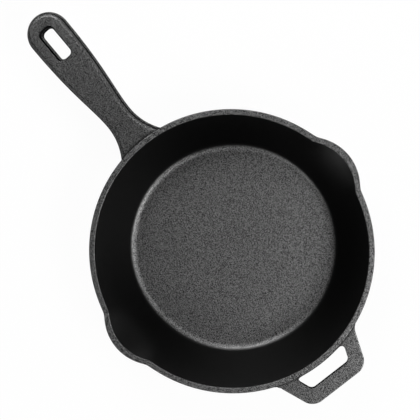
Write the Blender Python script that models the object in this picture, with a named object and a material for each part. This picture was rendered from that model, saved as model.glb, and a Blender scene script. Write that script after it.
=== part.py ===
# Cast iron skillet: a vessel with two pour spouts, a long handle and a helper handle.
# Metres, +Z up. The origin is the centre of the flat underside, and +X runs along the long handle.
# The real skillet is one casting. It is split here where each handle's root meets the wall.

import math

import bmesh
import bpy
from mathutils import Vector
from mathutils.geometry import interpolate_bezier

# Vessel
RIM_RADIUS = 0.135  # outside of the rim
RIM_WIDTH = 0.0052  # across the flat top of the rim
RIM_LAND = 0.002  # upright band under the rim's outer edge
RIM_EDGE = 0.0009  # rounding of the rim's two edges
PAN_HEIGHT = 0.050
FLOOR_THICKNESS = 0.0042
FLOOR_RADIUS = 0.1006  # where the line of the inner wall meets the floor
WALL_THICKNESS = 0.0042  # square to the wall, at its foot
INNER_FILLET = 0.010
BASE_FILLET = 0.010

# Pour spouts, one on each side, square to the handles
SPOUT_REACH = 0.0089  # bulge of the rim's outer edge
SPOUT_INNER_REACH = 0.0078  # bulge of the rim's inner edge
SPOUT_HALF_WIDTH = 0.0315
SPOUT_DEPTH = 0.028  # how far down the wall the bulge reaches
SPOUT_SOFTNESS = 0.12  # rounding where the bulge leaves the rim, as a share of its reach

# Both handles
HANDLE_DROP = 0.003  # handle tops below the rim
SEAM_GAP = 0.0003  # between a handle's root and the wall
ROOT_BURY = 0.030  # how far a root runs in under the rim before the wall trims it

# Long handle
HANDLE_LENGTH = 0.1552  # from the rim's outer edge to the tip
HANDLE_THICKNESS = 0.011
NECK_DISTANCE = 0.031  # from the rim's outer edge to the narrowest place
NECK_HALF_WIDTH = 0.014
TIP_RADIUS = 0.021
NECK_EASE = 0.022  # how slowly the side leaves the neck
TIP_EASE = 0.060  # how slowly the side reaches the tip's round end
FLARE_RADIUS = 0.0566  # concave side between the neck and the rim
FLARE_ANGLE = math.radians(45)
LEDGE_DROP = 0.0055  # from the handle's top down to the ledge round its edge
LEDGE_WIDTH = 0.0011
LEDGE_THICKNESS = 0.0022
LEDGE_EDGE = 0.0003  # rounding of the ledge's outer edge
SHOULDER = 0.0036  # rounding between the handle's top and its side
SIDE_DRAFT = 0.0006  # how far the side leans in between the ledge and the shoulder
UNDERSIDE_ROUND = 0.0033  # how far the underside is rounded in from the edge
MOULD_SHIFT = 0.0006  # to +Y, of all above the ledge: the mould's halves are a little out of line

# Hanging slot
SLOT_LENGTH = 0.0325
SLOT_HALF_WIDTH = 0.0063
SLOT_CORNER = 0.0045
SLOT_FLARE = 0.0025  # how much wider the slot's mouth is, on each side
SLOT_EDGE = 0.0016  # bevel round the mouth, part of its flare
SLOT_STEP = 0.0008  # how much wider the slot is just above the ledge's height
SLOT_TIP_WALL = 0.0163  # metal between the slot and the tip

# Helper handle
HELPER_REACH = 0.0296  # from the rim's outer edge to the outer edge of the bar
HELPER_THICKNESS = 0.006
HELPER_HALF_WIDTH = 0.0319  # at the outer edge, before its corners are rounded
HELPER_SIDE_ANGLE = math.radians(21.1)
HELPER_CORNER = 0.014
HELPER_BAR = 0.0142  # width of the bar round the slot
HELPER_SLOT_CORNER = 0.0055
HELPER_WEB = 0.001  # metal left between the slot and the rim's outer edge, seen from above
HELPER_EDGE = 0.0012  # rounding of the outer edges
HELPER_SLOT_EDGE = 0.0006  # bevel round the slot
HELPER_ROOT_INSET = 0.0055  # where the sides start to flare, inside the rim's outer edge
HELPER_ROOT_ANGLE = math.radians(48.7)
HELPER_ROOT_FILLET = 0.013
HELPER_TURN = math.radians(-0.76)  # about the pan's middle: the casting's handles aren't quite in line

# Fineness of the round shapes
TURN_STEPS = 144
FILLET_STEPS = 6
EDGE_STEPS = 2
ROUND_STEPS = 3
WALL_STEPS = 5
CORNER_STEPS = 5
SIDE_STEPS = 12
TIP_STEPS = 10

CUTTER_MARGIN = 0.004  # how far a cutter stands out past what it cuts
SAME_PLACE = 1e-6
SMOOTH_ANGLE = math.radians(35)
IRON_COLOUR = (0.055, 0.055, 0.056, 1.0)
IRON_ROUGHNESS = 0.55
IRON_METALLIC = 0.85


def clear_scene():
    for obj in list(bpy.data.objects):
        bpy.data.objects.remove(obj, do_unlink=True)


def iron_material(name):
    material = bpy.data.materials.new(name)
    material.use_nodes = True
    shader = material.node_tree.nodes["Principled BSDF"]
    shader.inputs["Base Color"].default_value = IRON_COLOUR
    shader.inputs["Roughness"].default_value = IRON_ROUGHNESS
    shader.inputs["Metallic"].default_value = IRON_METALLIC
    return material


def object_from(mesh, name):
    """The bmesh as an object in the scene, with its faces pointing out."""
    bmesh.ops.recalc_face_normals(mesh, faces=mesh.faces)
    data = bpy.data.meshes.new(name)
    mesh.to_mesh(data)
    mesh.free()
    data.shade_smooth()
    data.set_sharp_from_angle(angle=SMOOTH_ANGLE)
    obj = bpy.data.objects.new(name, data)
    bpy.context.scene.collection.objects.link(obj)
    return obj


def cutter_from(mesh, name):
    obj = object_from(mesh, name)
    obj.hide_render = True
    obj.display_type = "WIRE"
    return obj


def cut(obj, cutter):
    modifier = obj.modifiers.new(cutter.name, "BOOLEAN")
    modifier.operation = "DIFFERENCE"
    modifier.object = cutter


def rounded(corners, closed):
    """Points of a flat line through corners (x, y, radius, steps), each corner rounded to its radius."""
    points = []
    last = len(corners) - 1
    for index, (x, y, radius, steps) in enumerate(corners):
        here = Vector((x, y))
        if radius == 0 or (not closed and index in (0, last)):
            points.append(here)
            continue
        before = Vector(corners[index - 1][:2]) - here
        after = Vector(corners[(index + 1) % len(corners)][:2]) - here
        half_angle = before.angle(after) / 2
        room = 0.49 * min(before.length, after.length) * math.tan(half_angle)
        radius = min(radius, room)
        middle = (before.normalized() + after.normalized()).normalized()
        centre = here + middle * radius / math.sin(half_angle)
        start = here + before.normalized() * radius / math.tan(half_angle) - centre
        end = here + after.normalized() * radius / math.tan(half_angle) - centre
        sweep = start.angle_signed(end)
        for step in range(steps + 1):
            angle = -sweep * step / steps
            turned_x = start.x * math.cos(angle) - start.y * math.sin(angle)
            turned_y = start.x * math.sin(angle) + start.y * math.cos(angle)
            points.append(centre + Vector((turned_x, turned_y)))
    return points


def moved_in(outline, distance):
    """A closed anticlockwise outline with every side moved inwards by the distance."""
    points = []
    for index, here in enumerate(outline):
        before = (here - outline[index - 1]).normalized()
        after = (outline[(index + 1) % len(outline)] - here).normalized()
        normal = Vector((-before.y, before.x)) + Vector((-after.y, after.x))
        points.append(here + normal * distance / (1 + before.dot(after)))
    return points


def lofted(outline, layers):
    """A closed bmesh through copies of the outline, one for each (height, inset) from the bottom up."""
    mesh = bmesh.new()
    loops = []
    for height, inset in layers:
        loop = [mesh.verts.new((x, y, height)) for x, y in moved_in(outline, inset)]
        loops.append(loop)
    for lower, upper in zip(loops, loops[1:]):
        for index in range(len(outline)):
            following = (index + 1) % len(outline)
            mesh.faces.new((lower[index], lower[following], upper[following], upper[index]))
    mesh.faces.new(reversed(loops[0]))
    mesh.faces.new(loops[-1])
    return mesh


def turned(profile):
    """A bmesh turned about the Z axis from (radius, height) points that start and end on the axis."""
    mesh = bmesh.new()
    verts = [mesh.verts.new((radius, 0, height)) for radius, height in profile]
    edges = [mesh.edges.new(pair) for pair in zip(verts, verts[1:])]
    bmesh.ops.spin(
        mesh,
        geom=verts + edges,
        cent=(0, 0, 0),
        axis=(0, 0, 1),
        angle=math.tau,
        steps=TURN_STEPS,
        use_merge=True,
    )
    bmesh.ops.remove_doubles(mesh, verts=mesh.verts, dist=SAME_PLACE)
    return mesh


def with_steps(start, end):
    """Points strictly between two (radius, height) points, so that a straight wall can bulge."""
    share = [step / WALL_STEPS for step in range(1, WALL_STEPS)]
    return [start.lerp(end, part) for part in share]


def outer_lean():
    """The outer wall's angle from upright. Its line starts under the rim's land and passes the
    floor's inner corner at the wall's thickness."""
    across = RIM_RADIUS - FLOOR_RADIUS
    down = PAN_HEIGHT - RIM_LAND - FLOOR_THICKNESS
    return math.atan2(across, down) - math.asin(WALL_THICKNESS / math.hypot(across, down))


def base_corner():
    """The radius where the outer wall's line meets the underside."""
    return RIM_RADIUS - (PAN_HEIGHT - RIM_LAND) * math.tan(outer_lean())


def spout_share(x, y, height):
    """How much of a spout's full reach applies at a point: 1 on the rim at its middle, 0 away from it."""
    from_middle = abs(abs(math.atan2(y, x)) - math.pi / 2)
    across = from_middle / math.asin(SPOUT_HALF_WIDTH / RIM_RADIUS)
    bump = 1 - across**2
    soft = (bump + math.hypot(bump, SPOUT_SOFTNESS)) / (1 + math.hypot(1, SPOUT_SOFTNESS))
    rise = 1 - (PAN_HEIGHT - height) / SPOUT_DEPTH
    return soft * min(max(rise, 0), 1) ** 2


def add_spouts(mesh, inner_limit):
    """Moves the wall outwards at both spouts. The inner side lies within inner_limit(height)."""
    for vert in mesh.verts:
        radius = math.hypot(vert.co.x, vert.co.y)
        if radius < FLOOR_RADIUS - INNER_FILLET:
            continue
        inside = radius < inner_limit(vert.co.z)
        reach = SPOUT_INNER_REACH if inside else SPOUT_REACH
        scale = 1 + reach * spout_share(*vert.co) / radius
        vert.co.x *= scale
        vert.co.y *= scale


def middle_of_wall(height):
    """The radius halfway through the wall at a height."""
    inner_foot = Vector((FLOOR_RADIUS, FLOOR_THICKNESS))
    inner_top = Vector((RIM_RADIUS - RIM_WIDTH, PAN_HEIGHT))
    inner = inner_foot.lerp(inner_top, (height - inner_foot.y) / (inner_top.y - inner_foot.y)).x
    outer = min(RIM_RADIUS, base_corner() + height * math.tan(outer_lean()))
    return (inner + outer) / 2


def make_vessel():
    rim_inside = RIM_RADIUS - RIM_WIDTH
    inner = rounded(
        [
            (0, FLOOR_THICKNESS, 0, 1),
            (FLOOR_RADIUS, FLOOR_THICKNESS, INNER_FILLET, FILLET_STEPS),
            (rim_inside, PAN_HEIGHT, RIM_EDGE, EDGE_STEPS),
            (RIM_RADIUS, PAN_HEIGHT, RIM_EDGE, EDGE_STEPS),
            (RIM_RADIUS, PAN_HEIGHT - RIM_LAND, 0, 1),
            (base_corner(), 0, BASE_FILLET, FILLET_STEPS),
            (0, 0, 0, 1),
        ],
        closed=False,
    )
    wall_foot = FILLET_STEPS + 1
    inner[wall_foot + 1 : wall_foot + 1] = with_steps(inner[wall_foot], inner[wall_foot + 1])
    land_foot = len(inner) - FILLET_STEPS - 3
    inner[land_foot + 1 : land_foot + 1] = with_steps(inner[land_foot], inner[land_foot + 1])
    mesh = turned(inner)
    add_spouts(mesh, middle_of_wall)
    return object_from(mesh, "vessel")


def make_envelope():
    """What the vessel fills, a seam's gap larger, and open upwards: it trims the handles' roots."""
    shift = SEAM_GAP / math.cos(outer_lean())
    above = PAN_HEIGHT + CUTTER_MARGIN
    profile = rounded(
        [
            (0, above, 0, 1),
            (RIM_RADIUS + shift, above, 0, 1),
            (RIM_RADIUS + shift, PAN_HEIGHT - RIM_LAND, 0, 1),
            (base_corner() + shift, 0, BASE_FILLET, FILLET_STEPS),
            (0, 0, 0, 1),
        ],
        closed=False,
    )
    return cutter_from(turned(profile), "vessel_envelope")


def long_handle_outline():
    """Anticlockwise, from the buried root along -Y to the tip and back along +Y."""
    neck_x = RIM_RADIUS + NECK_DISTANCE
    tip_x = RIM_RADIUS + HANDLE_LENGTH - TIP_RADIUS
    root_x = RIM_RADIUS - ROOT_BURY
    flare = []
    for step in range(FILLET_STEPS + 1):
        angle = FLARE_ANGLE * (1 - step / FILLET_STEPS)
        along = neck_x - FLARE_RADIUS * math.sin(angle)
        flare.append(Vector((along, NECK_HALF_WIDTH + FLARE_RADIUS * (1 - math.cos(angle)))))
    root = Vector((root_x, flare[0].y + (flare[0].x - root_x) * math.tan(FLARE_ANGLE)))
    side = interpolate_bezier(
        Vector((neck_x, NECK_HALF_WIDTH)),
        Vector((neck_x + NECK_EASE, NECK_HALF_WIDTH)),
        Vector((tip_x - TIP_EASE, TIP_RADIUS)),
        Vector((tip_x, TIP_RADIUS)),
        SIDE_STEPS,
    )
    tip = []
    for step in range(1, TIP_STEPS + 1):
        angle = math.pi / 2 * (1 - step / TIP_STEPS)
        tip.append(Vector((tip_x + TIP_RADIUS * math.cos(angle), TIP_RADIUS * math.sin(angle))))
    left = [root] + flare[:-1] + [point.to_2d() for point in side] + tip
    right = [Vector((point.x, -point.y)) for point in left[:-1]]
    return right + left[::-1]


def round_layers(side, face, inset, reach):
    """(height, inset) steps of a quarter round from an upright side, which ends at the height side,
    to a flat face at the height face. The round starts at inset and goes in by reach."""
    layers = []
    for step in range(ROUND_STEPS + 1):
        angle = math.pi / 2 * step / ROUND_STEPS
        height = side + (face - side) * math.sin(angle)
        layers.append((height, inset + reach * (1 - math.cos(angle))))
    return layers if face > side else layers[::-1]


def shift_above(mesh, outline, layer):
    """Moves a loft's layers from this one up, as far as the mould's halves are out of line."""
    mesh.verts.ensure_lookup_table()
    for vert in mesh.verts[layer * len(outline) :]:
        vert.co.y += MOULD_SHIFT
    return mesh


def make_long_handle(envelope):
    top = PAN_HEIGHT - HANDLE_DROP
    bottom = top - HANDLE_THICKNESS
    ledge = top - LEDGE_DROP
    band_foot = ledge - LEDGE_THICKNESS
    layers = round_layers(band_foot, bottom, 0, UNDERSIDE_ROUND)
    layers += [(ledge - LEDGE_EDGE, 0), (ledge, LEDGE_EDGE)]
    upper_half = [(ledge, LEDGE_WIDTH)]
    shoulder_foot = top - min(SHOULDER, LEDGE_DROP)
    upper_half += round_layers(shoulder_foot, top, LEDGE_WIDTH + SIDE_DRAFT, SHOULDER)
    outline = long_handle_outline()
    mesh = shift_above(lofted(outline, layers + upper_half), outline, len(layers))
    handle = object_from(mesh, "long_handle")

    far_end = RIM_RADIUS + HANDLE_LENGTH - SLOT_TIP_WALL
    near_end = far_end - SLOT_LENGTH
    slot = rounded(
        [
            (near_end, -SLOT_HALF_WIDTH, SLOT_CORNER, CORNER_STEPS),
            (far_end, -SLOT_HALF_WIDTH, SLOT_CORNER, CORNER_STEPS),
            (far_end, SLOT_HALF_WIDTH, SLOT_CORNER, CORNER_STEPS),
            (near_end, SLOT_HALF_WIDTH, SLOT_CORNER, CORNER_STEPS),
        ],
        closed=True,
    )
    lower_slot = [(bottom - CUTTER_MARGIN, 0), (ledge, 0)]
    upper_slot = [(ledge, -SLOT_STEP), (top - SLOT_EDGE, SLOT_EDGE - SLOT_FLARE)]
    upper_slot += [(top, -SLOT_FLARE), (top + CUTTER_MARGIN, -SLOT_FLARE)]
    slot_mesh = shift_above(lofted(slot, lower_slot + upper_slot), slot, len(lower_slot))
    cut(handle, cutter_from(slot_mesh, "hanging_slot"))
    cut(handle, envelope)
    return handle


def make_helper_handle(envelope):
    """A flat tab with a slot that follows the rim. It meets the wall opposite the long handle."""
    top = PAN_HEIGHT - HANDLE_DROP
    bottom = top - HELPER_THICKNESS
    outer_x = -(RIM_RADIUS + HELPER_REACH)
    flare_x = -(RIM_RADIUS - HELPER_ROOT_INSET)
    root_x = -(RIM_RADIUS - ROOT_BURY)
    flare_y = HELPER_HALF_WIDTH + (flare_x - outer_x) * math.tan(HELPER_SIDE_ANGLE)
    root_y = flare_y + (root_x - flare_x) * math.tan(HELPER_ROOT_ANGLE)
    outline = rounded(
        [
            (outer_x, HELPER_HALF_WIDTH, HELPER_CORNER, CORNER_STEPS),
            (outer_x, -HELPER_HALF_WIDTH, HELPER_CORNER, CORNER_STEPS),
            (flare_x, -flare_y, HELPER_ROOT_FILLET, CORNER_STEPS),
            (root_x, -root_y, 0, 1),
            (root_x, root_y, 0, 1),
            (flare_x, flare_y, HELPER_ROOT_FILLET, CORNER_STEPS),
        ],
        closed=True,
    )
    layers = round_layers(bottom + HELPER_EDGE, bottom, 0, HELPER_EDGE)
    layers += round_layers(top - HELPER_EDGE, top, 0, HELPER_EDGE)
    handle = object_from(lofted(outline, layers), "helper_handle")

    slot_x = outer_x + HELPER_BAR
    side_offset = HELPER_BAR / math.cos(HELPER_SIDE_ANGLE)
    slot_y = HELPER_HALF_WIDTH + HELPER_BAR * math.tan(HELPER_SIDE_ANGLE) - side_offset
    slot_root_y = slot_y + (root_x - slot_x) * math.tan(HELPER_SIDE_ANGLE)
    slot = rounded(
        [
            (slot_x, slot_y, HELPER_SLOT_CORNER, CORNER_STEPS),
            (slot_x, -slot_y, HELPER_SLOT_CORNER, CORNER_STEPS),
            (root_x + CUTTER_MARGIN, -slot_root_y, 0, 1),
            (root_x + CUTTER_MARGIN, slot_root_y, 0, 1),
        ],
        closed=True,
    )
    slot_layers = [(bottom - CUTTER_MARGIN, -HELPER_SLOT_EDGE), (bottom, -HELPER_SLOT_EDGE)]
    slot_layers += [(bottom + HELPER_SLOT_EDGE, 0), (top - HELPER_SLOT_EDGE, 0)]
    slot_layers += [(top, -HELPER_SLOT_EDGE), (top + CUTTER_MARGIN, -HELPER_SLOT_EDGE)]
    slot_cutter = cutter_from(lofted(slot, slot_layers), "helper_slot")
    web_radius = RIM_RADIUS + HELPER_WEB
    below, above = bottom - 2 * CUTTER_MARGIN, top + 2 * CUTTER_MARGIN
    web = turned([(0, above), (web_radius, above), (web_radius, below), (0, below)])
    cut(slot_cutter, cutter_from(web, "helper_web"))
    cut(handle, slot_cutter)
    cut(handle, envelope)
    handle.rotation_euler.z = HELPER_TURN
    slot_cutter.rotation_euler.z = HELPER_TURN
    return handle


def main():
    clear_scene()
    skillet = bpy.data.objects.new("skillet", None)
    bpy.context.scene.collection.objects.link(skillet)
    envelope = make_envelope()
    pieces = [make_vessel(), make_long_handle(envelope), make_helper_handle(envelope)]
    for piece in pieces:
        piece.parent = skillet
        piece.data.materials.append(iron_material(piece.name + "_iron"))


main()
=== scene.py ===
# Cast iron skillet seen from above: a vessel with two pour spouts, a long handle and a helper handle.
# Metres, +Z up, the long handle along +X. The origin is the middle of the flat underside.

import math

import bmesh
import bpy
from mathutils import Matrix, Vector
from mathutils.geometry import interpolate_bezier


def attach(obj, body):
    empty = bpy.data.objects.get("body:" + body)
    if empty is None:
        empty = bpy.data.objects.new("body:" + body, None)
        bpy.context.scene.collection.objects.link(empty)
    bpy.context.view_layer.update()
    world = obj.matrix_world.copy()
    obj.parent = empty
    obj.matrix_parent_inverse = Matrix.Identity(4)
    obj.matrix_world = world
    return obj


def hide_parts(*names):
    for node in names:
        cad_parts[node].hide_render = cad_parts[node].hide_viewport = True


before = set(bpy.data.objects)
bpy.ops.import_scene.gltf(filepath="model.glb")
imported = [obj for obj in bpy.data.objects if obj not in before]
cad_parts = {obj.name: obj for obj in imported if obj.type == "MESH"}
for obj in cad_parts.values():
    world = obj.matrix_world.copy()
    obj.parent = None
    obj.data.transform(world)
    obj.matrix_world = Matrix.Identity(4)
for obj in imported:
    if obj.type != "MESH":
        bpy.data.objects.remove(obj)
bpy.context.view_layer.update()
print("frame loaded")


def srgb(hexColour):
    # "#rrggbb" as written on screen, turned into Blender's linear colour
    parts = [int(hexColour[i:i + 2], 16) / 255 for i in (1, 3, 5)]
    return tuple(c / 12.92 if c <= 0.04045 else ((c + 0.055) / 1.055) ** 2.4 for c in parts) + (1,)


def addNode(tree, kind, values={}, links={}, **settings):
    node = tree.nodes.new(kind)
    for name, value in settings.items():
        setattr(node, name, value)
    for socket, value in values.items():
        node.inputs[socket].default_value = value
    for socket, source in links.items():
        tree.links.new(source, node.inputs[socket])
    return node


def roundCorner(mesh, vert, radius, segments):
    # rounds a corner of a wire to a radius, by bevelling its vertex
    before, after = [edge.other_vert(vert).co - vert.co for edge in vert.link_edges]
    reach = radius / math.tan(before.angle(after) / 2)
    bmesh.ops.bevel(mesh, geom=[vert], offset=reach, offset_type="OFFSET", segments=segments,
                    profile=0.5, affect="VERTICES", material=-1)


def bevelEdges(mesh, edges, width, segments):
    bmesh.ops.bevel(mesh, geom=edges, offset=width, offset_type="OFFSET", segments=segments,
                    profile=0.5, affect="EDGES", material=-1, clamp_overlap=True)


def outlineFace(mesh, outline, height):
    # a flat face through (x, y, radius, steps) corners, each rounded
    verts = [mesh.verts.new((x, y, height)) for x, y, radius, steps in outline]
    mesh.faces.new(verts)
    for vert, (x, y, radius, steps) in zip(verts, outline):
        if radius:
            roundCorner(mesh, vert, radius, steps)
    return mesh.faces[:][0]


def raiseFace(mesh, face, height):
    # extrudes an end face to a height and gives back the new end
    closed = len(mesh.faces) > 1
    grown = bmesh.ops.extrude_face_region(mesh, geom=[face])["geom"]
    if closed:
        bmesh.ops.delete(mesh, geom=[face], context="FACES_ONLY")
    top = [item for item in grown if isinstance(item, bmesh.types.BMFace)][0]
    for vert in top.verts:
        vert.co.z = height
    return top


def objectFrom(mesh, name):
    bmesh.ops.remove_doubles(mesh, verts=mesh.verts, dist=1e-6)
    bmesh.ops.recalc_face_normals(mesh, faces=mesh.faces)
    data = bpy.data.meshes.new(name)
    mesh.to_mesh(data)
    mesh.free()
    made = bpy.data.objects.new(name, data)
    bpy.context.scene.collection.objects.link(made)
    return made


def cutWith(piece, cutters):
    for cutter in cutters:
        modifier = piece.modifiers.new(cutter.name, "BOOLEAN")
        modifier.operation = "DIFFERENCE"
        modifier.solver = "EXACT"
        modifier.object = cutter
    graph = bpy.context.evaluated_depsgraph_get()
    piece.data = bpy.data.meshes.new_from_object(piece.evaluated_get(graph))
    piece.modifiers.clear()
    for cutter in cutters:
        bpy.data.objects.remove(cutter)


def finishPiece(piece, node, material):
    piece.data.shade_smooth()
    piece.data.set_sharp_from_angle(angle=math.radians(40))
    evened = piece.modifiers.new("evenShading", "WEIGHTED_NORMAL")
    evened.keep_sharp = True
    piece.data.materials.clear()
    piece.data.materials.append(material)
    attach(piece, "root")
    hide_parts(node)


camera = {
    "lens": 85.12,  # mm, on a 36 mm sensor
    "place": (0.04999, -0.11386, 0.97918),
    "aim": (-0.007265, 0.110335, -1),
    "imageUp": -40.045,  # degrees from +X, seen from above
}


def makeCamera():
    forward = Vector(camera["aim"]).normalized()
    turn = math.radians(camera["imageUp"])
    up = Vector((math.cos(turn), math.sin(turn), 0))
    up = (up - forward * up.dot(forward)).normalized()
    right = forward.cross(up)
    data = bpy.data.cameras.new("camera")
    data.lens = camera["lens"]
    data.sensor_width = 36
    shot = bpy.data.objects.new("camera", data)
    turned = Matrix((right, up, -forward)).transposed().to_4x4()
    shot.matrix_world = Matrix.Translation(camera["place"]) @ turned
    bpy.context.scene.collection.objects.link(shot)
    bpy.context.scene.camera = shot


makeCamera()
bpy.context.scene.view_settings.view_transform = "Standard"
print("camera placed")


studio = {
    "keyPlace": (-0.989, -0.460, 1.170),
    "keySize": (1.1, 0.5),  # m, width and height of the softbox
    "keyLight": 17.7,  # W
    "sidePlace": (1.126, -0.526, 1.007),
    "sideSize": (1.1, 0.6),
    "sideLight": 17.2,
    "fillPlace": (-0.350, 1.311, 0.848),
    "fillSize": (0.9, 0.4),
    "fillLight": 5,
    "surround": 0.03,  # how much the room lights matt surfaces
    "sweepTop": 0.05,  # height above the horizon, as a sine, up to which the backdrop is white
    "floorColour": "#f4f4f4",
    "floorSize": 4,
    "floorGlow": 0.96,  # share of the floor's white that doesn't come from the lamps
    "floorFade": (0.5, 1.2),  # m from the middle, over which that share grows to all of it
}


def softbox(name, place, size, power):
    data = bpy.data.lights.new(name, "AREA")
    data.shape = "RECTANGLE"
    data.size, data.size_y = size
    data.energy = power
    lamp = bpy.data.objects.new(name, data)
    lamp.location = place
    lamp.rotation_euler = (-Vector(place)).to_track_quat("-Z", "Y").to_euler()
    bpy.context.scene.collection.objects.link(lamp)


def shownDirectly(tree):
    # 1 for what the camera sees, also by way of a reflection or through something clear
    path = addNode(tree, "ShaderNodeLightPath")
    either = addNode(tree, "ShaderNodeMath", operation="MAXIMUM",
                     links={0: path.outputs["Is Camera Ray"], 1: path.outputs["Is Glossy Ray"]})
    return addNode(tree, "ShaderNodeMath", operation="MAXIMUM",
                   links={0: either.outputs[0], 1: path.outputs["Is Transmission Ray"]}).outputs[0]


def makeRoom():
    # a white backdrop round a room that is dim overhead
    # what the camera sees past the floor is white all the way up
    world = bpy.data.worlds.new("room")
    world.use_nodes = True
    tree = world.node_tree
    tree.nodes.clear()
    ray = addNode(tree, "ShaderNodeTexCoord").outputs["Generated"]
    rise = addNode(tree, "ShaderNodeSeparateXYZ", links={"Vector": ray}).outputs["Z"]
    sweep = addNode(tree, "ShaderNodeMapRange", links={"Value": rise}, values={
        "From Min": studio["sweepTop"], "From Max": studio["sweepTop"] + 0.1,
        "To Min": 1, "To Max": studio["surround"]})
    seen = addNode(tree, "ShaderNodeMath", operation="MULTIPLY",
                   links={0: shownDirectly(tree), 1: sweep.outputs[0]})
    path = addNode(tree, "ShaderNodeLightPath")
    behind = addNode(tree, "ShaderNodeMath", operation="MAXIMUM",
                     links={0: seen.outputs[0], 1: path.outputs["Is Camera Ray"]})
    strength = addNode(tree, "ShaderNodeMath", operation="MAXIMUM", values={1: studio["surround"]},
                       links={0: behind.outputs[0]})
    light = addNode(tree, "ShaderNodeBackground", values={"Color": (1, 1, 1, 1)},
                    links={"Strength": strength.outputs[0]})
    addNode(tree, "ShaderNodeOutputWorld", links={"Surface": light.outputs[0]})
    bpy.context.scene.world = world


def makeFloor():
    mesh = bmesh.new()
    bmesh.ops.create_grid(mesh, x_segments=1, y_segments=1, size=studio["floorSize"] / 2,
                          matrix=Matrix.Translation((0, 0, -0.0003)))
    data = bpy.data.meshes.new("floor")
    mesh.to_mesh(data)
    mesh.free()
    floor = bpy.data.objects.new("floor", data)
    bpy.context.scene.collection.objects.link(floor)
    paper = bpy.data.materials.new("whitePaper")
    paper.use_nodes = True
    tree = paper.node_tree
    tree.nodes.clear()
    matt = addNode(tree, "ShaderNodeBsdfDiffuse", values={"Color": srgb(studio["floorColour"])})
    glow = addNode(tree, "ShaderNodeEmission", values={"Color": (1, 1, 1, 1), "Strength": 1})
    place = addNode(tree, "ShaderNodeTexCoord").outputs["Object"]
    away = addNode(tree, "ShaderNodeVectorMath", operation="LENGTH", links={0: place}).outputs["Value"]
    near, far = studio["floorFade"]
    ownWhite = addNode(tree, "ShaderNodeMapRange", links={"Value": away}, values={
        "From Min": near, "From Max": far, "To Min": studio["floorGlow"]})
    share = addNode(tree, "ShaderNodeMath", operation="MULTIPLY",
                    links={0: shownDirectly(tree), 1: ownWhite.outputs[0]})
    mixed = addNode(tree, "ShaderNodeMixShader",
                    links={0: share.outputs[0], 1: matt.outputs[0], 2: glow.outputs[0]})
    clear = addNode(tree, "ShaderNodeBsdfTransparent")
    side = addNode(tree, "ShaderNodeNewGeometry")
    oneSided = addNode(tree, "ShaderNodeMixShader", links={
        0: side.outputs["Backfacing"], 1: mixed.outputs[0], 2: clear.outputs[0]})
    addNode(tree, "ShaderNodeOutputMaterial", links={"Surface": oneSided.outputs[0]})
    data.materials.append(paper)


softbox("keySoftbox", studio["keyPlace"], studio["keySize"], studio["keyLight"])
softbox("sideSoftbox", studio["sidePlace"], studio["sideSize"], studio["sideLight"])
softbox("fillSoftbox", studio["fillPlace"], studio["fillSize"], studio["fillLight"])
makeRoom()
makeFloor()
print("studio lit")


iron = {
    "steepGlossAndShade": "#393939",  # baked-on oil on steep sides, darker there as painted shade
    "hollow": "#141414",  # between the grains on the lighter level faces
    "top": "#9a9a9a",  # tops of the grains there
    "edgeOn": "#606060",  # reflections seen edge on, dulled by the pores
    "glossyRoughness": 0.34,
    "grainRoughness": 0.50,
    "bareAndLitFade": 0.16,  # how much more level a side gets while it turns from dark smooth oil to rougher, lighter speckle, partly painted light and shade by facing
    "grain": 0.0008,  # m, sand grain of the mould
    "grainSpan": (0.38, 0.62),  # heights in the grain's noise that are fully hollow and fully top
    "pebble": 0.001,  # m, the coarser peened look of the cooking floor
    "paintedCreaseShadeFade": 0.0008,  # m
    "litLeftInPaintedCrease": 0.3,  # share of the level faces' lightness left in the painted shade of the crease between a handle and the rim
}


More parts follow.
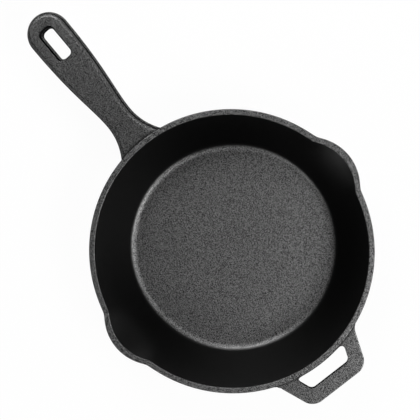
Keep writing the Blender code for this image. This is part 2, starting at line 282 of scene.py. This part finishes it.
def castIron(name, piece):
    # Sand-cast iron under baked-on oil. Steep sides are coloured dark and smooth, level faces grey and
    # speckled by the mould's grain: partly smoother oil and bare wear, partly painted shade on steep sides
    # and painted light on level faces. The real grain is about 0.4 mm. It is drawn a little coarser, so
    # that it shows.
    material = bpy.data.materials.new(name)
    material.use_nodes = True
    tree = material.node_tree
    tree.nodes.clear()
    place = addNode(tree, "ShaderNodeTexCoord").outputs["Object"]
    facing = addNode(tree, "ShaderNodeNewGeometry").outputs["Normal"]
    upright = addNode(tree, "ShaderNodeSeparateXYZ", links={"Vector": facing}).outputs["Z"]
    level = addNode(tree, "ShaderNodeMath", operation="ABSOLUTE", links={0: upright})
    # lighter on level faces, darker on steep sides: partly bare iron and smoother oil, partly painted light
    # and shade by facing
    bareAndLit = addNode(tree, "ShaderNodeMapRange", links={"Value": level.outputs[0]}, values={
        "From Min": piece["bareAndLitFrom"], "From Max": piece["bareAndLitFrom"] + iron["bareAndLitFade"]})
    grain = addNode(tree, "ShaderNodeTexNoise", links={"Vector": place}, values={
        "Scale": 1 / iron["grain"], "Detail": 2, "Roughness": 0.6})
    pebble = addNode(tree, "ShaderNodeTexNoise", links={"Vector": place}, values={
        "Scale": 1 / iron["pebble"], "Detail": 1, "Roughness": 0.5})
    grainRise = addNode(tree, "ShaderNodeMath", operation="MULTIPLY",
                        values={1: piece["grainDepth"]}, links={0: grain.outputs["Fac"]})
    pebbleRise = addNode(tree, "ShaderNodeMath", operation="MULTIPLY",
                         values={1: piece["pebbleDepth"]}, links={0: pebble.outputs["Fac"]})
    pebbled = addNode(tree, "ShaderNodeMath", operation="MULTIPLY",
                      links={0: pebbleRise.outputs[0], 1: bareAndLit.outputs[0]})
    relief = addNode(tree, "ShaderNodeMath", operation="ADD",
                     links={0: pebbled.outputs[0], 1: grainRise.outputs[0]})
    bump = addNode(tree, "ShaderNodeBump", values={"Strength": 1, "Distance": 1},
                   links={"Height": relief.outputs[0]})
    hollow, top = iron["grainSpan"]
    tops = addNode(tree, "ShaderNodeMapRange", links={"Value": grain.outputs["Fac"]}, values={
        "From Min": hollow, "From Max": top, "To Max": piece["wear"]})
    speckle = addNode(tree, "ShaderNodeMix", data_type="RGBA", links={"Factor": tops.outputs[0]},
                      values={"A": srgb(iron["hollow"]), "B": srgb(iron["top"])})
    # painted shade darkens the crease, inside its radius, where a handle meets the rim
    flatPlace = addNode(tree, "ShaderNodeVectorMath", operation="MULTIPLY", values={1: (1, 1, 0)},
                        links={0: place})
    radius = addNode(tree, "ShaderNodeVectorMath", operation="LENGTH", links={0: flatPlace.outputs[0]})
    crease = piece["paintedCreaseShadeRadius"]
    clear = addNode(tree, "ShaderNodeMapRange", links={"Value": radius.outputs["Value"]}, values={
        "From Min": crease, "From Max": crease + iron["paintedCreaseShadeFade"], "To Min": iron["litLeftInPaintedCrease"]})
    bareAndLitOutsideCrease = addNode(tree, "ShaderNodeMath", operation="MULTIPLY",
                  links={0: bareAndLit.outputs[0], 1: clear.outputs[0]})
    colour = addNode(tree, "ShaderNodeMix", data_type="RGBA", values={"A": srgb(iron["steepGlossAndShade"])},
                     links={"Factor": bareAndLitOutsideCrease.outputs[0], "B": speckle.outputs[2]})
    sheen = addNode(tree, "ShaderNodeMapRange", links={"Value": bareAndLit.outputs[0]}, values={
        "To Min": iron["glossyRoughness"], "To Max": iron["grainRoughness"]})
    shader = addNode(tree, "ShaderNodeBsdfPrincipled", values={
        "Metallic": 1, "Specular Tint": srgb(iron["edgeOn"])}, links={
        "Base Color": colour.outputs[2], "Roughness": sheen.outputs[0], "Normal": bump.outputs[0]})
    addNode(tree, "ShaderNodeOutputMaterial", links={"Surface": shader.outputs[0]})
    return material


vessel = {
    "rimRadius": 0.135,
    "rimWidth": 0.0052,
    "rimLand": 0.002,
    "rimEdge": 0.0009,
    "rimInnerEdge": 0.0011,
    "height": 0.050,
    "floorThickness": 0.0042,
    "floorRadius": 0.1006,  # where the lines of the inner wall and the floor cross
    "innerFillet": 0.010,
    "baseRadius": 0.10284,  # where the lines of the outer wall and the underside cross
    "baseFillet": 0.010,
    "turns": 288,
    "spoutReach": 0.00887,
    "spoutInnerReach": 0.0078,
    "spoutHalfWidth": 13.5,  # degrees
    "spoutDepth": 0.028,
    "spoutSoftness": 0.12,
    "wallSteps": 14,  # cuts up the wall, so that the spouts bend smoothly
    "floorSteps": 8,
    "bareAndLitFrom": 0.79,  # sides at least this level begin to turn lighter, as bare iron and as painted light: 0 is upright, 1 is level
    "wear": 1,  # how bright the grains' tops are
    "grainDepth": 0.0001,
    "pebbleDepth": 0.0002,
    "paintedCreaseShadeRadius": -0.001,  # none: the floor's middle stays clear
}


def outerWall(height):
    # radius of the wall's outside
    rise = height / (vessel["height"] - vessel["rimLand"])
    return vessel["baseRadius"] + min(rise, 1) * (vessel["rimRadius"] - vessel["baseRadius"])


def innerWall(height):
    foot = vessel["floorThickness"]
    rise = (height - foot) / (vessel["height"] - foot)
    return vessel["floorRadius"] + rise * (vessel["rimRadius"] - vessel["rimWidth"] - vessel["floorRadius"])


def middleOfWall(height):
    return (outerWall(height) + innerWall(height)) / 2


def spoutShare(x, y, height):
    # 1 on the rim in the middle of a spout, 0 away from it
    away = abs(abs(math.degrees(math.atan2(y, x))) - 90) / vessel["spoutHalfWidth"]
    bump = 1 - away ** 2
    softness = vessel["spoutSoftness"]
    share = (bump + math.hypot(bump, softness)) / (1 + math.hypot(1, softness))
    rise = 1 - (vessel["height"] - height) / vessel["spoutDepth"]
    return share * min(max(rise, 0), 1) ** 2


def makeVessel():
    mesh = bmesh.new()
    rimInside = vessel["rimRadius"] - vessel["rimWidth"]
    corners = [
        (0, vessel["floorThickness"], 0, 0),
        (vessel["floorRadius"], vessel["floorThickness"], vessel["innerFillet"], 10),
        (rimInside, vessel["height"], vessel["rimInnerEdge"], 5),
        (vessel["rimRadius"], vessel["height"], vessel["rimEdge"], 5),
        (vessel["rimRadius"], vessel["height"] - vessel["rimLand"], 0.002, 3),
        (vessel["baseRadius"], 0, vessel["baseFillet"], 8),
        (0, 0, 0, 0),
    ]
    verts = [mesh.verts.new((radius, 0, height)) for radius, height, fillet, steps in corners]
    for start, end in zip(verts, verts[1:]):
        mesh.edges.new((start, end))
    for vert, (radius, height, fillet, steps) in zip(verts, corners):
        if fillet:
            roundCorner(mesh, vert, fillet, steps)
    steep = [e for e in mesh.edges if abs(e.verts[0].co.z - e.verts[1].co.z) > 0.02]
    bmesh.ops.subdivide_edges(mesh, edges=steep, cuts=vessel["wallSteps"])
    flat = [e for e in mesh.edges if e.calc_length() > 0.05]
    bmesh.ops.subdivide_edges(mesh, edges=flat, cuts=vessel["floorSteps"])
    bmesh.ops.spin(mesh, geom=mesh.verts[:] + mesh.edges[:], cent=(0, 0, 0), axis=(0, 0, 1),
                   angle=math.tau, steps=vessel["turns"], use_merge=True)
    for vert in mesh.verts:
        radius = math.hypot(vert.co.x, vert.co.y)
        if radius > vessel["floorRadius"] - vessel["innerFillet"]:
            inside = radius < middleOfWall(vert.co.z)
            reach = vessel["spoutInnerReach"] if inside else vessel["spoutReach"]
            pushed = 1 + reach * spoutShare(*vert.co) / radius
            vert.co.x *= pushed
            vert.co.y *= pushed
    material = castIron("seasonedIronVessel", vessel)
    finishPiece(objectFrom(mesh, "skilletVessel"), "vessel", material)


makeVessel()
print("vessel turned")


handle = {
    "top": 0.047,
    "bottom": 0.036,
    "ledge": 0.0415,
    "ledgeWidth": 0.0011,
    "ledgeEdge": 0.0003,
    "mouldShift": 0.0006,  # to +Y, of all above the ledge: the mould's halves are a little out of line
    "draft": 0.0006,
    "shoulder": 0.0036,
    "undersideRound": 0.0033,
    "neckX": 0.166,
    "neckHalfWidth": 0.014,
    "flareRadius": 0.0566,
    "flareAngle": 45,
    "tipX": 0.2692,
    "tipRadius": 0.021,
    "neckEase": 0.022,
    "tipEase": 0.060,
    "rootX": 0.112,
    "rootFillet": 0.010,  # radius under the root
    "rootFilletReach": 0.0053,
    "rootFilletMost": 0.0083,  # how far in from its edge the fillet goes on curving
    "slotNear": 0.2414,
    "slotFar": 0.2739,
    "slotHalfWidth": 0.0063,
    "slotCorner": 0.0045,
    "slotStep": 0.0008,
    "slotFlare": 0.0023,
    "slotEdge": 0.0008,
    "bareAndLitFrom": 0.45,
    "wear": 0.72,
    "grainDepth": 0.0001,
    "pebbleDepth": 0.00015,
    "paintedCreaseShadeRadius": 0.1358,
}


def wallCore():
    # everything inside the middle of the wall, from under the pan to over it, to trim a handle's root
    mesh = bmesh.new()
    profile = [(0, -0.01), (middleOfWall(-0.01), -0.01)]
    profile += [(middleOfWall(step / 200), step / 200) for step in range(13)] + [(0, 0.06)]
    verts = [mesh.verts.new((radius, 0, height)) for radius, height in profile]
    for start, end in zip(verts, verts[1:]):
        mesh.edges.new((start, end))
    bmesh.ops.spin(mesh, geom=mesh.verts[:] + mesh.edges[:], cent=(0, 0, 0), axis=(0, 0, 1),
                   angle=math.tau, steps=144, use_merge=True)
    return objectFrom(mesh, "wallCore")


def bisectAll(mesh, along, places):
    for place in places:
        bmesh.ops.bisect_plane(mesh, geom=mesh.verts[:] + mesh.edges[:] + mesh.faces[:], dist=1e-6,
                               plane_co=Vector(along) * place, plane_no=along)


def makeSlotCutter():
    centreX = (handle["slotNear"] + handle["slotFar"]) / 2
    halfLength = (handle["slotFar"] - handle["slotNear"]) / 2
    halfWidth = handle["slotHalfWidth"]
    mesh = bmesh.new()
    bmesh.ops.create_grid(mesh, x_segments=1, y_segments=1, size=1,
                          matrix=Matrix.Translation((centreX, 0, handle["bottom"] - 0.004))
                          @ Matrix.Diagonal((halfLength, halfWidth, 1, 1)))
    bmesh.ops.bevel(mesh, geom=mesh.verts[:], offset=handle["slotCorner"], offset_type="OFFSET",
                    segments=8, profile=0.5, affect="VERTICES", material=-1)
    top = handle["top"]
    edge = handle["slotEdge"]
    layers = [
        (handle["ledge"], 0, 0),
        (handle["ledge"], handle["slotStep"], handle["mouldShift"]),
        (top - edge, handle["slotFlare"] - edge, 0),
        (top - 0.4 * edge, handle["slotFlare"] - 0.5 * edge, 0),
        (top, handle["slotFlare"], 0),
        (top + 0.004, handle["slotFlare"], 0),
    ]
    face = mesh.faces[:][0]
    now = 0
    for height, flare, shift in layers:
        face = raiseFace(mesh, face, height)
        stretch = ((halfLength + flare) / (halfLength + now), (halfWidth + flare) / (halfWidth + now), 1)
        middle = Matrix.Translation(-face.calc_center_median())
        bmesh.ops.scale(mesh, vec=stretch, space=middle, verts=face.verts[:])
        bmesh.ops.translate(mesh, vec=(0, shift, 0), verts=face.verts[:])
        now = flare
    return objectFrom(mesh, "slotCutter")


def addRootFillet(mesh):
    # the underside curves down into the wall
    radius = handle["rootFillet"]
    reach = handle["rootFilletReach"]
    low = handle["bottom"] + handle["undersideRound"]
    for vert in mesh.verts:
        away = math.hypot(vert.co.x, vert.co.y) - outerWall(handle["bottom"])
        if vert.co.z < low + 1e-6 and away < reach:
            into = min(reach - away, handle["rootFilletMost"])
            vert.co.z -= radius - math.sqrt(radius ** 2 - into ** 2)


def makeLongHandle():
    mesh = bmesh.new()
    # one half of the outline at the underside's height, from the neck both ways
    z = handle["bottom"]
    neck = mesh.verts.new((handle["neckX"], handle["neckHalfWidth"], z))
    bmesh.ops.spin(mesh, geom=[neck], axis=(0, 0, 1), steps=16,
                   cent=(handle["neckX"], handle["neckHalfWidth"] + handle["flareRadius"], z),
                   angle=-math.radians(handle["flareAngle"]))
    flareEnd = min(mesh.verts, key=lambda vert: vert.co.x)
    inwards = flareEnd.co.x - handle["rootX"]
    slope = math.tan(math.radians(handle["flareAngle"]))
    root = mesh.verts.new(flareEnd.co + Vector((-inwards, inwards * slope, 0)))
    mesh.edges.new((flareEnd, root))
    side = interpolate_bezier(
        Vector((handle["neckX"], handle["neckHalfWidth"], z)),
        Vector((handle["neckX"] + handle["neckEase"], handle["neckHalfWidth"], z)),
        Vector((handle["tipX"] - handle["tipEase"], handle["tipRadius"], z)),
        Vector((handle["tipX"], handle["tipRadius"], z)), 32)
    last = neck
    for point in side[1:]:
        vert = mesh.verts.new(point)
        mesh.edges.new((last, vert))
        last = vert
    bmesh.ops.spin(mesh, geom=[last], axis=(0, 0, 1), steps=24, cent=(handle["tipX"], 0, z),
                   angle=-math.pi / 2)
    bmesh.ops.mirror(mesh, geom=mesh.verts[:] + mesh.edges[:], matrix=Matrix.Identity(4),
                     merge_dist=1e-5, axis="Y")
    bmesh.ops.remove_doubles(mesh, verts=mesh.verts, dist=1e-5)
    ends = [vert for vert in mesh.verts if len(vert.link_edges) == 1]
    mesh.edges.new(ends)
    face = bmesh.ops.contextual_create(mesh, geom=mesh.edges[:])["faces"][0]
    if face.normal.z < 0:
        face.normal_flip()
    top = raiseFace(mesh, face, handle["ledge"])
    ledgeRing = top.edges[:]
    bmesh.ops.inset_region(mesh, faces=[top], thickness=handle["ledgeWidth"], depth=0,
                           use_boundary=True, use_even_offset=True)
    bmesh.ops.translate(mesh, vec=(0, handle["mouldShift"], 0), verts=top.verts[:])
    bmesh.ops.inset_region(mesh, faces=[top], thickness=handle["draft"],
                           depth=handle["top"] - handle["ledge"], use_boundary=True, use_even_offset=True)
    bottomEdges = [e for e in mesh.edges if all(abs(v.co.z - handle["bottom"]) < 1e-6 for v in e.verts)]
    bevelEdges(mesh, bottomEdges, handle["undersideRound"], 6)
    ledgeEdges = [e for e in ledgeRing if e.is_valid]
    bevelEdges(mesh, ledgeEdges, handle["ledgeEdge"], 2)
    topEdges = [e for e in mesh.edges if all(abs(v.co.z - handle["top"]) < 1e-6 for v in e.verts)]
    bevelEdges(mesh, topEdges, handle["shoulder"], 6)
    bisectAll(mesh, (1, 0, 0), [0.118 + step * 0.0015 for step in range(12)])
    bisectAll(mesh, (0, 1, 0), [step * 0.004 for step in range(-8, 9)])
    addRootFillet(mesh)
    piece = objectFrom(mesh, "longHandle")
    cutWith(piece, [wallCore(), makeSlotCutter()])
    material = castIron("seasonedIronHandle", handle)
    finishPiece(piece, "long_handle", material)


makeLongHandle()
print("long handle shaped")


helper = {
    "top": 0.047,
    "bottom": 0.041,
    "outerX": -0.1646,
    "halfWidth": 0.0319,
    "sideAngle": 21.1,
    "corner": 0.014,
    "bar": 0.0142,
    "slotCorner": 0.0055,
    "slotRootCorner": 0.0035,
    "slotInside": 0.136,  # radius of the slot's side that follows the rim
    "edge": 0.0012,
    "slotInnerX": -0.1335,
    "flareX": -0.1295,
    "rootX": -0.105,
    "rootAngle": 48.7,
    "rootFillet": 0.013,
    "turn": -0.76,  # degrees about the pan's middle: the casting's handles aren't quite in line
    "bareAndLitFrom": 0.45,
    "wear": 1,
    "grainDepth": 0.0001,
    "pebbleDepth": 0.0001,
    "paintedCreaseShadeRadius": 0.136,
}


def helperSlotCutter():
    lean = math.tan(math.radians(helper["sideAngle"]))
    slotX = helper["outerX"] + helper["bar"]
    offset = helper["bar"] / math.cos(math.radians(helper["sideAngle"]))
    slotY = helper["halfWidth"] + helper["bar"] * lean - offset
    innerX = helper["slotInnerX"]
    innerY = slotY + (innerX - slotX) * lean
    outline = [
        (slotX, slotY, helper["slotCorner"], 8),
        (slotX, -slotY, helper["slotCorner"], 8),
        (innerX, -innerY, helper["slotRootCorner"], 6),
    ]
    for step in range(2, 11):
        y = innerY * (step / 6 - 1)
        outline.append((-math.sqrt(helper["slotInside"] ** 2 - y ** 2), y, 0, 0))
    outline.append((innerX, innerY, helper["slotRootCorner"], 6))
    mesh = bmesh.new()
    face = outlineFace(mesh, outline, helper["bottom"] - 0.004)
    raiseFace(mesh, face, helper["top"] + 0.004)
    return objectFrom(mesh, "helperSlotCutter")


def makeHelperHandle():
    mesh = bmesh.new()
    lean = math.tan(math.radians(helper["sideAngle"]))
    flareX = helper["flareX"]
    flareY = helper["halfWidth"] + (flareX - helper["outerX"]) * lean
    rootX = helper["rootX"]
    rootY = flareY + (rootX - flareX) * math.tan(math.radians(helper["rootAngle"]))
    face = outlineFace(mesh, [
        (helper["outerX"], helper["halfWidth"], helper["corner"], 12),
        (helper["outerX"], -helper["halfWidth"], helper["corner"], 12),
        (flareX, -flareY, helper["rootFillet"], 12),
        (rootX, -rootY, 0, 0),
        (rootX, rootY, 0, 0),
        (flareX, flareY, helper["rootFillet"], 12),
    ], helper["bottom"])
    raiseFace(mesh, face, helper["top"])
    flatEdges = [e for e in mesh.edges if abs(e.verts[0].co.z - e.verts[1].co.z) < 1e-6]
    bevelEdges(mesh, flatEdges, helper["edge"], 4)
    piece = objectFrom(mesh, "helperHandle")
    cutWith(piece, [wallCore(), helperSlotCutter()])
    piece.data.transform(Matrix.Rotation(math.radians(helper["turn"]), 4, "Z"))
    material = castIron("seasonedIronHelper", helper)
    finishPiece(piece, "helper_handle", material)


makeHelperHandle()
print("helper handle shaped")
